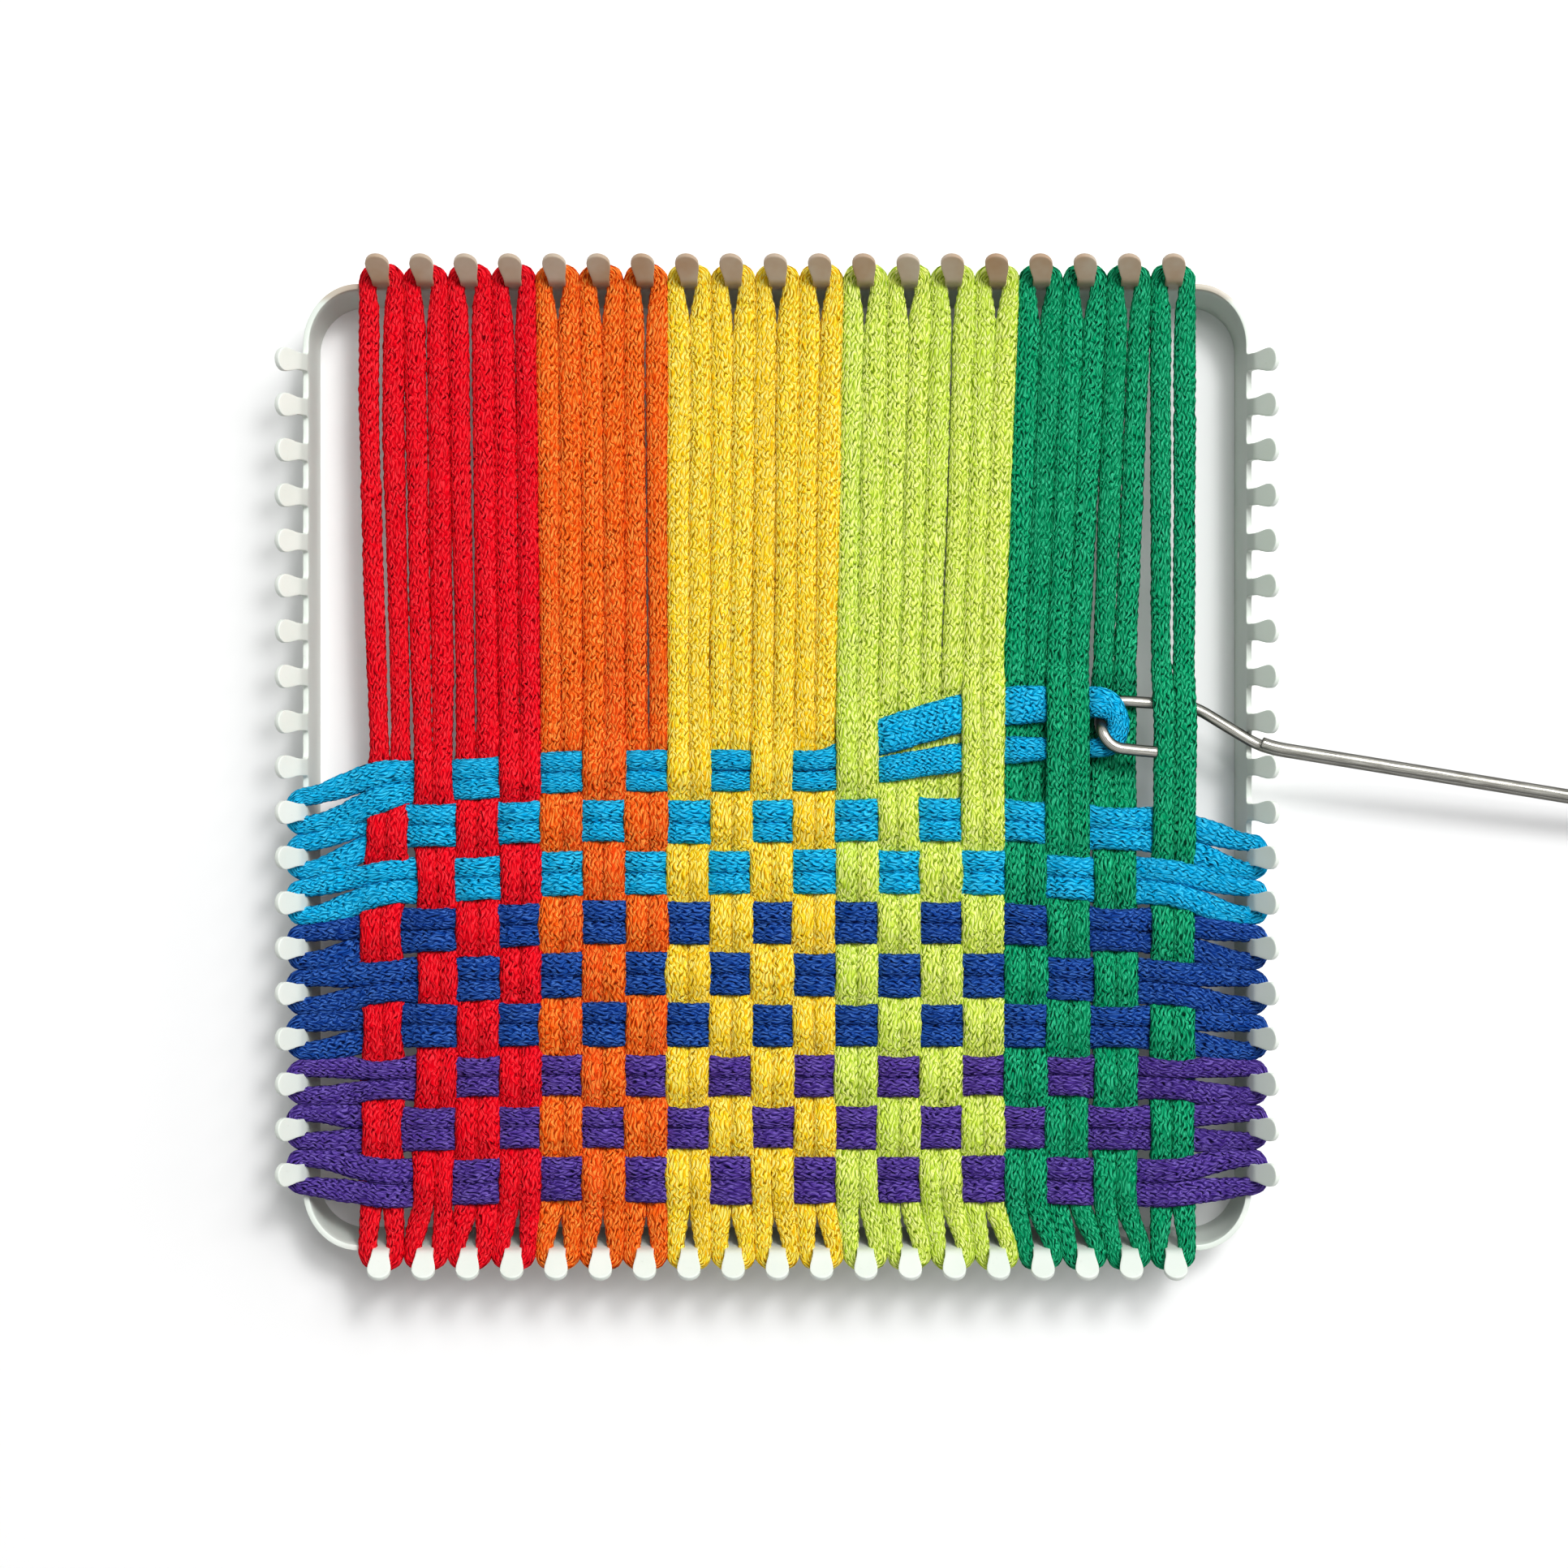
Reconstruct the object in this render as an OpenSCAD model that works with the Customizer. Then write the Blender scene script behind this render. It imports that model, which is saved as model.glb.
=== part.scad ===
// Potholder loom: a bent sheet-steel frame with a row of pegs on each side, strung with knitted
// loops and half woven, with a wire weaving hook pulling the ninth weft loop through.
// Millimetres. The origin is the middle of the frame's bottom edge, +Z is up, the warp runs along Y.

/* [Frame] */
// Width of the frame at its foot, across the side rails
base_x = 185; // [170:0.5:200]
// Length of the frame at its foot, across the end rails
base_y = 186; // [170:0.5:200]
// Outer radius of the frame's corners
corner_r = 10.3; // [8:0.1:12]
// Thickness of the sheet steel
sheet = 1.1; // [0.8:0.05:1.4]
// Height of the band, from its foot to the notches
wall_h = 14.5; // [12:0.5:20]
// Outward lean of the side rails, in degrees
side_lean = 2; // [0:0.5:4]
// Outward lean of the end rails, in degrees
end_lean = 7; // [3:0.5:9]

/* [Pegs] */
// Distance from peg to peg along the end rails
end_pitch = 8.6; // [8.2:0.05:9]
// Distance from peg to peg along the side rails
side_pitch = 8.8; // [8.4:0.05:9]
// Width of a peg's neck
neck_w = 3.3; // [2.6:0.1:3.6]
// Length of a peg's neck, from the notch to the fold
neck_len = 3.5; // [3.4:0.1:4.2]
// Length of a peg's head, from the fold to the tip
head_len = 6; // [4.8:0.1:7]
// Width of a peg's head at its round end
head_w = 4.6; // [4:0.1:5]
// Radius in the corners of the notches
notch_r = 1; // [0.6:0.1:1.2]
// Tilt of the necks on the side rails, in degrees from upright
side_neck_tilt = 18; // [10:1:26]
// Tilt of the heads on the side rails, in degrees from upright
side_head_tilt = 36; // [30:1:46]
// Tilt of the necks on the end rails, in degrees from upright
end_neck_tilt = 38; // [30:1:40]
// Tilt of the heads on the end rails, in degrees from upright
end_head_tilt = 65; // [58:1:68]

/* [Loops] */
// Width of the two strands of a loop where it is woven
pair_w = 7.1; // [6:0.1:7.2]
// Gap between the two strands of a loop in the weave
strand_gap = 0.3; // [0.2:0.05:0.6]
// Thickness of a strand
loop_t = 2.2; // [1.8:0.05:2.2]
// Gap between two strands that cross
cross_gap = 0.2; // [0.1:0.05:0.3]
// Gap between a loop and the steel that it is hung on
peg_gap = 0.3; // [0.2:0.05:0.4]
// Gap between neighbouring loops at the pegs
side_gap = 0.3; // [0.2:0.05:0.6]
// Depth of the strand that passes round the back of a peg
wrap_t = 2; // [1.4:0.1:2.4]
// Distance over which the strands of a loop close up behind a peg
fan_len = 12; // [8:0.5:16]
// Rounding of a crossing's crown
crown = 0.4; // [0.1:0.05:0.6]

/* [Weave] */
// Middle of the first weft row, counted from the middle of the loom
first_row = -80.5; // [-82:0.5:-79]
// Distance from row to row
row_pitch = 10; // [9.6:0.05:10.1]
// How much closer than the pegs the columns lie, for each column
draw_in = 0.37; // [0:0.01:0.4]
// Column that the others are drawn towards
draw_column = 7.5; // [5:0.5:15]

/* [Weaving hook] */
// Diameter of the wire
wire_d = 2.3; // [2:0.05:2.4]
// Radius of the hook's bend, to the middle of the wire
bend_r = 4.7; // [4.4:0.1:5]
// Straight lip from the bend to the cut tip
lip_len = 6.1; // [4:0.1:7]
// Length of the doubled handle beyond the frame
handle_len = 152; // [100:1:170]
// Width of the eye at the handle's end, to the middle of the wire
eye_w = 5.4; // [5:0.1:6]
// Length of the eye at the handle's end
eye_len = 13; // [10:0.5:20]

/* [Hidden] */
WARP = [for (c = [1:19]) str("warp_loop_", c < 10 ? "0" : "", c)];
WEFT = [for (r = [1:9]) str("weft_loop_", r)];

pegs = 19;
rows = 9;
last_full_row = 8;
middle_peg = (pegs + 1) / 2;
paint = "#d3d6cb";
steel = "#8f8d88";
warp_colours = concat([for (i = [1:4]) "#e01a26"], [for (i = [1:3]) "#f5661a"],
  [for (i = [1:4]) "#ffc71e"], [for (i = [1:4]) "#b4d73c"], [for (i = [1:4]) "#14a069"]);
weft_colours = concat([for (i = [1:3]) "#4b2da0"], [for (i = [1:3]) "#193ca0"],
  [for (i = [1:3]) "#14a0dc"]);

// How far a leaning wall reaches out at its top, and its thickness measured level. Both are whole
// thousandths, so that the rails and the corners share their end faces at any height.
function wall_reach(lean) = round(1000 * wall_h * tan(lean)) / 1000;
function wall_level(lean) = round(1000 * sheet / cos(lean)) / 1000;

// Bent strip of sheet that makes a rail and its pegs, seen along the rail.
// Each corner is [out, up] from the foot of the outer face.
function strip_out(lean, neck, head, reach) = let (
    foot = [0, 0],
    notch = [wall_reach(lean), wall_h],
    fold = notch + neck_len * [sin(neck), cos(neck)]
  ) [foot, notch, fold, fold + reach * [sin(head), cos(head)]];
function mitre(p, a, b) =
  p + sheet / cos((b - a) / 2) * [-cos((a + b) / 2), sin((a + b) / 2)];
function strip_in(lean, neck, head, reach) = let (
    o = strip_out(lean, neck, head, reach)
  ) [[-wall_level(lean), 0], mitre(o[1], lean, neck), mitre(o[2], neck, head),
    o[3] + sheet * [-cos(head), sin(head)]];

// Front outline of a rail: the band with the necks standing on it, filleted at their roots.
function fillet(x, way, up) = [for (i = [0:3]) let (
    a = up ? 30 * i : 90 - 30 * i
  ) [x + way * (neck_w / 2 + notch_r * (1 - sin(a))), wall_h + notch_r * (1 - cos(a))]];
function rail_outline(len, pitch) = let (
    top = wall_h + neck_len + 2 * sheet
  ) concat([[-len / 2, 0], [len / 2, 0], [len / 2, wall_h]],
    [for (i = [pegs:-1:1]) let (x = (i - middle_peg) * pitch)
      each concat(fillet(x, 1, true), [[x + neck_w / 2, top], [x - neck_w / 2, top]],
        fillet(x, -1, false))],
    [[-len / 2, wall_h]]);

// Round-ended head, drawn in its own plane from the fold at [0, 0].
module head_outline() {
  tip_r = head_w / 2;
  flare = head_len - tip_r - 0.4 * tip_r;
  polygon([[-neck_w / 2, -sheet], [neck_w / 2, -sheet], [neck_w / 2, 0],
    [0.88 * tip_r, flare], [-0.88 * tip_r, flare], [-neck_w / 2, 0]]);
  translate([0, head_len - tip_r]) circle(r = tip_r, $fn = 48);
}

// One rail, along X, with its outer face towards +Y at the foot of the band.
module rail(len, pitch, lean, neck, head) {
  o = strip_out(lean, neck, head, head_len + 1);
  i = strip_in(lean, neck, head, head_len + 1);
  band_in = [o[1][0] - wall_level(lean), wall_h];
  span = (pegs - 1) * pitch + head_w + 1;
  intersection() {
    rotate([90, 0, 90]) linear_extrude(height = len, center = true)
      polygon([o[0], o[1], o[2], i[2], i[1], band_in, i[0]]);
    rotate([90, 0, 0]) linear_extrude(height = 40, center = true)
      polygon(rail_outline(len + 2, pitch));
  }
  intersection() {
    rotate([90, 0, 90]) linear_extrude(height = span, center = true)
      polygon([o[2], o[3], i[3], i[2]]);
    translate([0, o[2][0], o[2][1]]) rotate([90 - head, 0, 0]) translate([0, 0, -1])
      linear_extrude(height = sheet + 2)
      for (k = [1:pegs]) translate([(k - middle_peg) * pitch, 0]) head_outline();
  }
}

// Closed solid through a row of flat rings, each listed anticlockwise as seen from before the first.
module skin(rings) {
  m = len(rings[0]);
  last = m * (len(rings) - 1);
  ends = [[for (j = [m - 1:-1:0]) j], [for (j = [0:m - 1]) last + j]];
  sides = [for (k = [0:len(rings) - 2]) for (j = [0:m - 1]) let (
      a = m * k + j,
      b = m * k + (j + 1) % m
    ) each [[a, b, a + m], [a + m, b, b + m]]];
  polyhedron(points = [for (r = rings) each r], faces = concat(ends, sides));
}

// Corner of the band in the +X +Y quarter, which blends one rail's lean into the other's.
module corner() {
  n = 9;
  centre = [base_x / 2 - corner_r, base_y / 2 - corner_r];
  lean = [wall_reach(side_lean), wall_reach(end_lean)];
  inset = [wall_level(side_lean), wall_level(end_lean)];
  skin([for (k = [0:n]) let (d = [cos(90 * k / n), sin(90 * k / n)])
    [for (s = [[0, 0], [0, 1], [1, 1], [1, 0]]) [
      centre[0] + d[0] * (corner_r - s[0] * inset[0] + s[1] * lean[0]),
      centre[1] + d[1] * (corner_r - s[0] * inset[1] + s[1] * lean[1]),
      s[1] * wall_h]]]);
}

module loom_frame() {
  color(paint) union() {
    for (turn = [0, 180]) {
      rotate([0, 0, turn]) translate([0, base_y / 2, 0])
        rail(base_x - 2 * corner_r, end_pitch, end_lean, end_neck_tilt, end_head_tilt);
      rotate([0, 0, turn + 90]) translate([0, base_x / 2, 0])
        rail(base_y - 2 * corner_r, side_pitch, side_lean, side_neck_tilt, side_head_tilt);
    }
    for (mx = [0, 1]) for (my = [0, 1]) mirror([mx, 0, 0]) mirror([0, my, 0]) corner();
  }
}

// Heights of the strands' middles and of the hook's wire.
rest_z = wall_h + peg_gap + loop_t / 2;
rise = (loop_t + cross_gap) / 2;
hook_z = rest_z + 0.1;
hook_gap = 0.3;
hook_rise = wire_d / 2 + hook_gap + loop_t / 2;
turn_z = hook_z + hook_rise;
low_z = hook_z - hook_rise;
lip_z = turn_z + hook_rise;

// Where a loop leaves the inner face of the wall and where it passes behind a neck, from the
// middle of the loom, and half the room that it leaves round the neck.
end_wall = base_y / 2 + wall_h * tan(end_lean);
side_wall = base_x / 2 + wall_h * tan(side_lean);
end_in = end_wall - sheet / cos(end_lean) - peg_gap;
side_in = side_wall - sheet / cos(side_lean) - peg_gap;
end_back = end_wall + (peg_gap + loop_t) * tan(end_neck_tilt) + peg_gap / 2;
side_back = side_wall + (peg_gap + loop_t) * tan(side_neck_tilt) + peg_gap / 2;
fillet_reach = notch_r * (1 - sin(acos(1 - peg_gap / notch_r)));
neck_half = neck_w / 2 + fillet_reach + 0.8 * peg_gap;
end_reach = (end_pitch - side_gap) / 2;
side_reach = (side_pitch - side_gap) / 2;

half = pair_w / 2;
step = half + cross_gap / 2;
slit = strand_gap / 2;

function peg_x(c) = (c - middle_peg) * end_pitch;
function peg_y(r) = (r - middle_peg) * side_pitch;
function column_x(c) = peg_x(c)
  - draw_in * (c - draw_column) * min(1, 0.75 * min(c - 1, pegs - c));
function row_y(r) = first_row + (r - 1) * row_pitch;
weave_edge = column_x(pegs) + step;

// Edges of the slack ninth row, which climbs to the hook: [x, height above the row's middle].
slack_top = [[9.7, half], [17.2, 9], [36, 14.8], [45, 16.4], [64.6, 16.4]];
slack_low = [[9.7, -half], [17.2, -3], [36, -0.5], [45, 1.2], [61, 2.6], [65, 2.6]];
mid_9 = row_y(rows);
function top_edge(x) = mid_9 + lookup(x, slack_top);
function low_edge(x) = mid_9 + lookup(x, slack_low);

// Is the weft on top where row r crosses column c? The ninth row skips a beat at column 14.
function weft_over(r, c) = r < rows || c < 14 ? (r + c) % 2 == 0 : c == 14 || c % 2 == 0;
function warp_z(r, c) =
  r < rows || c < 17 ? rest_z + (weft_over(r, c) ? -rise : rise) :
  c == 18 ? low_z : turn_z;
function weft_z(r, c) =
  r == rows && c == 17 ? turn_z - 2 * rise :
  rest_z + (weft_over(r, c) ? rise : -rise);

function backwards(v) = [for (i = [len(v) - 1:-1:0]) v[i]];

// Side view of a loop, from its level ends of [from, to] and the stretches of [from, to, height of
// the middle, 1 where the crown is on top or -1 where it is below] between them.
function crowned(k, z, way) = let (q = (k[1] - k[0]) / 4) [[k[0], z - way * crown],
  [k[0] + q, z], [k[1] - q, z], [k[1], z - way * crown]];
function side_view(left, right, s) = let (
    h = loop_t / 2,
    top = rest_z + h,
    foot = rest_z - h,
    above = [for (k = s) each k[3] > 0 ? crowned(k, k[2] + h, 1) :
      [[k[0], k[2] + h], [k[1], k[2] + h]]],
    below = [for (k = s) each k[3] < 0 ? crowned(k, k[2] - h, -1) :
      [[k[0], k[2] - h], [k[1], k[2] - h]]]
  ) concat([[left[0], foot], [left[0], top], [left[1], top]], above, [[right[0], top],
    [right[1], top], [right[1], foot], [right[0], foot]], backwards(below), [[left[1], foot]]);
module side_profile(points, width) {
  rotate([90, 0, 0]) linear_extrude(height = width, center = true) polygon(points);
}

// Plan view of a loop along its own length, from stations of [along, middle, half width].
function outline(s) = concat([for (k = s) [k[0], k[1] + k[2]]],
  backwards([for (k = s) [k[0], k[1] - k[2]]]));
module plan(outer, inner) {
  translate([0, 0, wall_h / 2]) linear_extrude(height = 2 * wall_h) difference() {
    polygon(outer);
    polygon(inner);
  }
}

// Stations of a loop at its peg: round the back of the neck, beside it, and inside the wall.
function around(way, back, inside, mid, reach) = [[way * (back + wrap_t), mid, neck_half],
  [way * (back + 0.4 * wrap_t), mid, reach], [way * inside, mid, reach]];
function against(way, back, inside, mid) = [[way * back, mid, neck_half],
  [way * inside, mid, neck_half]];

module warp_loop(c) {
  p = peg_x(c);
  m = column_x(c);
  low = row_y(1) - step;
  high = top_edge(m + half);
  close = end_wall - fan_len;
  share = (close - high) / (end_wall - high);
  outer = concat(around(-1, end_back, end_in, p, end_reach), [[low, m, half], [high, m, half]],
    backwards(around(1, end_back, end_in, p, end_reach)));
  inner = concat(against(-1, end_back, end_in, p), [[low, m, slit], [high, m, slit],
    [close, m + (p - m) * share, 2 * slit]], backwards(against(1, end_back, end_in, p)));
  stretches = [for (r = [1:rows]) let (z = warp_z(r, c)) [
    r < rows ? row_y(r) - step : low_edge(m - half) - cross_gap / 2,
    r < rows ? row_y(r) + step : high + cross_gap / 2,
    z, z > rest_z ? 1 : -1]];
  tip = end_back + 2 * wrap_t;
  color(warp_colours[c - 1]) mirror([1, -1, 0]) intersection() {
    plan(outline(outer), outline(inner));
    translate([0, p, 0])
      side_profile(side_view([-tip, -end_in], [end_in, tip], stretches), 3 * end_pitch);
  }
}

module weft_loop(r) {
  p = peg_y(r);
  m = row_y(r);
  outer = concat(around(-1, side_back, side_in, p, side_reach),
    [[-weave_edge, m, half], [weave_edge, m, half]],
    backwards(around(1, side_back, side_in, p, side_reach)));
  inner = concat(against(-1, side_back, side_in, p), [[-weave_edge, m, slit],
    [weave_edge, m, slit]], backwards(against(1, side_back, side_in, p)));
  stretches = [for (c = [1:pegs]) [column_x(c) - step, column_x(c) + step, weft_z(r, c),
    weft_over(r, c) ? 1 : -1]];
  tip = side_back + 2 * wrap_t;
  color(weft_colours[r - 1]) intersection() {
    plan(outline(outer), outline(inner));
    translate([0, m, 0])
      side_profile(side_view([-tip, -side_in], [side_in, tip], stretches), 4 * side_pitch);
  }
}

// Place of the hook, from the middle of the loom: its bend, which holds the ninth loop's turn, the
// notch that its wire leaves through, and the start of the doubled handle.
bend_x = 67.7;
bend_y = mid_9 + 8.7;
turn_x = 68.6;
turn_w = 3.4;
leg_x = bend_x + 6.3;
notch_x = side_wall - sheet / 2;
notch_y = side_pitch / 2 + 0.85;
handle_x = base_x / 2 + 9.5;
handle_y = side_pitch / 2 - 1.8;
handle_turn = 9.1;
handle_end_z = wire_d / 2 + 0.3;
slope_x = base_x / 2 + 3.5;
far_x = handle_x + (handle_len - eye_w / 2) * cos(handle_turn);
tail_side = 0.5;
tail_end_x = side_wall + 1.4;
lap = wire_d + 0.05;

// The ninth loop hangs on its left peg, runs slack under and over the warp and turns round the hook.
module slack_loop() {
  p = peg_y(rows);
  m = mid_9;
  left = concat(around(-1, side_back, side_in, p, side_reach), [[-weave_edge, m, half]]);
  turn = [[turn_x - 1.2, 15], [turn_x, 11.5], [turn_x, 6.5], [turn_x - 1.2, 3.8]];
  outer = concat([for (s = left) [s[0], s[1] + s[2]]],
    [for (k = concat(slack_top, turn, backwards(slack_low))) [k[0], m + k[1]]],
    backwards([for (s = left) [s[0], s[1] - s[2]]]));
  hole = [bend_x - bend_r - wire_d / 2 - 0.6, turn_x - turn_w];
  inner = concat(against(-1, side_back, side_in, p), [[-weave_edge, m, slit], [9.7, m, slit],
    [17.2, m + 1.9, slit], [36, m + 6.2, 1], [45, m + 7.7, 0.9],
    [hole[0], bend_y - 0.1, 2.8], [hole[1], bend_y - 0.1, 2.8]]);
  stretches = concat([for (c = [1:17]) [column_x(c) - step, column_x(c) + step,
    weft_z(rows, c), weft_over(rows, c) ? 1 : -1]],
    [[column_x(17) + step + 1.2, turn_x + 2, turn_z, 0]]);
  tip = side_back + 2 * wrap_t;
  color(weft_colours[rows - 1]) intersection() {
    plan(outer, outline(inner));
    translate([0, m, 0]) side_profile(
      side_view([-tip, -side_in], [turn_x + 3, turn_x + 4], stretches), 6 * side_pitch);
  }
}

// Round wire along a path of points. Each ring of its skin keeps one diameter level.
function unit(v) = v / norm(v);
function heading(path, k) = unit(path[min(k + 1, len(path) - 1)] - path[max(k - 1, 0)]);
module wire(path, d) {
  n = 10;
  skin([for (k = [0:len(path) - 1]) let (
      t = heading(path, k),
      side = unit(cross(t, [0, 0, 1])),
      up = cross(side, t)
    ) [for (a = [0:360 / n:359]) path[k] + d / 2 * (side * cos(a) + up * sin(a))]]);
}

// Smooth curve through two knots of [x, y, slope], and a smooth step from 0 to 1.
function between(a, b, x) = let (w = b[0] - a[0], t = (x - a[0]) / w)
  (1 + 2 * t) * pow(1 - t, 2) * a[1] + t * pow(1 - t, 2) * w * a[2]
  + t * t * (3 - 2 * t) * b[1] + t * t * (t - 1) * w * b[2];
function smooth(t) = let (u = max(0, min(1, t))) u * u * (3 - 2 * u);

// Plan and height of the wire between the bend and the handle.
knots = [[leg_x, bend_y + bend_r - 0.4, -0.06], [notch_x, notch_y, -0.55],
  [handle_x, handle_y, -tan(handle_turn)]];
function shank_y(x) = x < knots[1][0] ? between(knots[0], knots[1], x) :
  between(knots[1], knots[2], x);
function shank_z(x) = hook_z
  - max(0, x - slope_x) * (hook_z - handle_end_z) / (far_x - slope_x);
function on_handle(along, across, lift) = let (
    x = handle_x + along * cos(handle_turn) + across * sin(handle_turn),
    y = handle_y - along * sin(handle_turn) + across * cos(handle_turn)
  ) [x, y, shank_z(x) + lift];

// The wire runs from the cut tip of the lip round the bend, out through the notch, along the
// handle, round its eye and back on top of itself to the other cut end.
module weaving_hook() {
  lip = [bend_x + lip_len, bend_y - bend_r - 0.6, lip_z];
  bend = [for (a = [270:-10:90]) [bend_x + bend_r * cos(a), bend_y + bend_r * sin(a),
    hook_z + (lip_z - hook_z) * smooth((a - 157) / 46)]];
  leg = [for (i = [0:11]) let (x = leg_x + (handle_x - leg_x) * i / 12) [x, shank_y(x), shank_z(x)]];
  r = eye_w / 2;
  eye = concat([[handle_len - eye_len, 0], [handle_len - 0.6 * eye_len, -0.9 * r]],
    [for (a = [-90:22.5:90]) [handle_len - r + r * cos(a), r * sin(a)]],
    [[handle_len - 0.6 * eye_len, r], [handle_len - eye_len, 0.6 * r]]);
  last = len(eye) - 1;
  tail = [for (i = [0:3]) let (x = handle_x + (tail_end_x - handle_x) * i / 3)
    [x, shank_y(x) + tail_side, shank_z(x) + lap]];
  color(steel) wire(concat([lip], bend, leg, [on_handle(0, 0, 0)],
    [for (i = [0:last]) on_handle(eye[i][0], eye[i][1], lap * smooth(1.3 * i / last - 0.15))],
    [on_handle(handle_len - 1.6 * eye_len, tail_side, lap)], tail), wire_d);
}

for (i = [0:pegs - 1]) warp_loop(i + 1);
for (i = [0:last_full_row - 1]) weft_loop(i + 1);
slack_loop();
loom_frame();
weaving_hook();
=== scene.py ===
"""Looks of the potholder loom: painted sheet steel, knitted loops and a wire weaving hook.

Sizes are millimetres in the model's own frame and turn into metres when a mesh is made.
X runs along the weft, Y along the warp, and Z is up from the surface that the loom lies on.
"""

import math

import bpy
import numpy as np
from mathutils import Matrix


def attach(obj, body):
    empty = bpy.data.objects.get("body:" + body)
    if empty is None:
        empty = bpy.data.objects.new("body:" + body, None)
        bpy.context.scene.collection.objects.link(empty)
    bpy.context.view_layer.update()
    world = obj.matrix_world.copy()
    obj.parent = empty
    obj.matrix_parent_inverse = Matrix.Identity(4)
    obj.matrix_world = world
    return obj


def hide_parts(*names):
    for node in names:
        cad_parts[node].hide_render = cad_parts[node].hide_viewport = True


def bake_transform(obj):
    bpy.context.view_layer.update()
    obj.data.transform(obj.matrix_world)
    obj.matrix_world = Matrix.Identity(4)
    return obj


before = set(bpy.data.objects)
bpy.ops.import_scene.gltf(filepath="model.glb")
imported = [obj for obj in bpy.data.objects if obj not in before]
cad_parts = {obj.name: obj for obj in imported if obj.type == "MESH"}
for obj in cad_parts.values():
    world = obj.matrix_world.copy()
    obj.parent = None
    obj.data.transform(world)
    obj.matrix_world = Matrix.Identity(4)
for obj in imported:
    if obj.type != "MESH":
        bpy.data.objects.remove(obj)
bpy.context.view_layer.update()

MM = 0.001
TAU = 2 * math.pi

# Frame
BASE_X, BASE_Y = 185.0, 186.0
CORNER_R = 10.3
SHEET = 1.1
WALL_H = 14.5
SIDE_LEAN, END_LEAN = math.radians(2), math.radians(7)

# Pegs
PEGS = 19
END_PITCH, SIDE_PITCH = 8.6, 8.8
NECK_W, NECK_LEN, NOTCH_R = 3.3, 3.5, 1.0
HEAD_W, HEAD_LEN = 4.6, 6.0
SIDE_NECK, SIDE_HEAD = math.radians(18), math.radians(36)
END_NECK, END_HEAD = math.radians(9), math.radians(47)
FLARE_LEN, FLARE_SHARE = 2.78, 0.88  # of the head, and its width there as a share of HEAD_W
TOP_SKEW = 0.1  # how far the top heads lean to the left, by their length

# Loops
LOOP_T = 2.2
REST_Z = 15.9
RISE = 1.2  # of a strand over, or its fall under, what it crosses
END_IN, SIDE_IN = 93.37, 91.61  # where the strands leave the pegs, from the middle
WRAP_BACK_END, WRAP_BACK_SIDE = 96.2, 93.9  # the inner side of the half turn behind a peg
WRAP_T, WRAP_HALF, WRAP_R = 2.0, 1.2, 2.4
STEP = 3.65  # half the length of a crossing

# Weave
ROWS = 9
FIRST_ROW, ROW_PITCH = -80.5, 10.0
DRAW_IN, DRAW_COLUMN = 0.37, 7.5
TURN_Z, LOW_Z = 18.55, 13.45

# Hook
WIRE_D = 2.3
BEND_X, BEND_Y, BEND_R = 67.7, 8.2, 4.7
HOOK_Z, LIP_Z, LIP_LEN = 16.0, 21.1, 6.1
HANDLE_X, HANDLE_Y, HANDLE_LEN = 102.0, 2.6, 152.0
HANDLE_TURN = math.radians(9.1)
EYE_W, EYE_LEN = 5.4, 13.0


def smooth(t):
    """0 to 1 with level ends, as t goes from 0 to 1."""
    u = np.clip(t, 0, 1)
    return u * u * (3 - 2 * u)


def add_object(name, data):
    item = bpy.data.objects.new(name, data)
    bpy.context.scene.collection.objects.link(item)
    return item


# Camera

CAMERA_X, CAMERA_Y, CAMERA_H = 1.3, -3.3, 720.0
VIEW_W = 306.8  # width of the picture at the loops
SENSOR = 36.0


def make_camera():
    """Looks straight down from over the middle of the loom, as the photograph does."""
    data = bpy.data.cameras.new("camera")
    data.sensor_width = SENSOR
    data.lens = SENSOR * (CAMERA_H - REST_Z) / VIEW_W
    data.clip_start, data.clip_end = 0.05, 20
    camera = add_object("camera", data)
    camera.location = (CAMERA_X * MM, CAMERA_Y * MM, CAMERA_H * MM)
    bpy.context.scene.camera = camera


# Node helpers


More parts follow.
